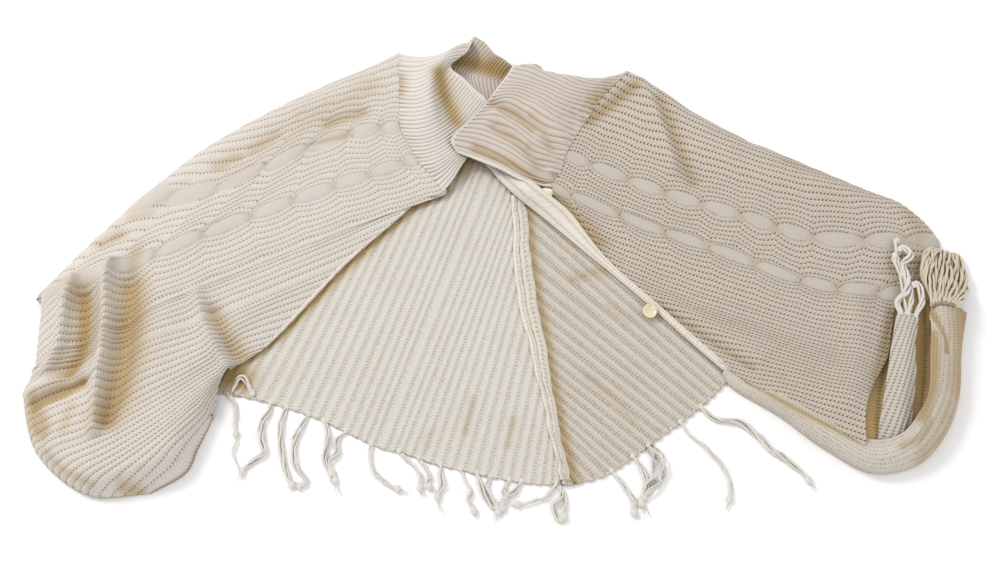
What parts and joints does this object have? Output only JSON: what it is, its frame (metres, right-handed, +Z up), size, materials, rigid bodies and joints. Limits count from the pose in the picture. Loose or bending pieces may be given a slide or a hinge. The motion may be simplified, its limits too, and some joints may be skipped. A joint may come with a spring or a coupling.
{
  "type": "knitted poncho",
  "caption": "Knitted cape poncho laid flat on its back and opened out, with a ribbed collar, a buttoned band, rows of pinched ovals and a knotted fringe.",
  "frame": {"origin": "centre of the box round the whole garment, on the surface that it lies on", "axes": "+X to the right front, +Y from the hem to the collar, +Z up from the surface"},
  "size_m": [1.3002, 0.7798, 0.051],
  "materials": {
    "body_knit": "matt cream cotton knit",
    "collar_knit": "matt cream rib knit",
    "inner_knit": "matt cream cotton knit",
    "band_knit": "matt pale cotton knit",
    "yarn": "matt pale cotton yarn",
    "pearl": "pearly"
  },
  "bodies": {
    "root": {"front_left": "body_knit", "front_right": "body_knit", "inner_left": "inner_knit", "inner_right": "inner_knit", "back_left": "body_knit", "back_right": "body_knit", "seam_turning_left": "body_knit", "seam_turning_right": "body_knit", "collar_left": "collar_knit", "collar_right": "collar_knit", "collar_back": "collar_knit", "band_left": "band_knit", "band_right": "band_knit", "turnup_right": "body_knit", "turnup_tongue": "body_knit", "inner_turnup": "inner_knit", "fringe_back_left": "yarn", "fringe_back_right": "yarn", "fringe_turnup_right": "yarn", "fringe_turnup_tongue": "yarn", "button_upper": "pearl", "button_lower": "pearl"}
  },
  "joints": []
}
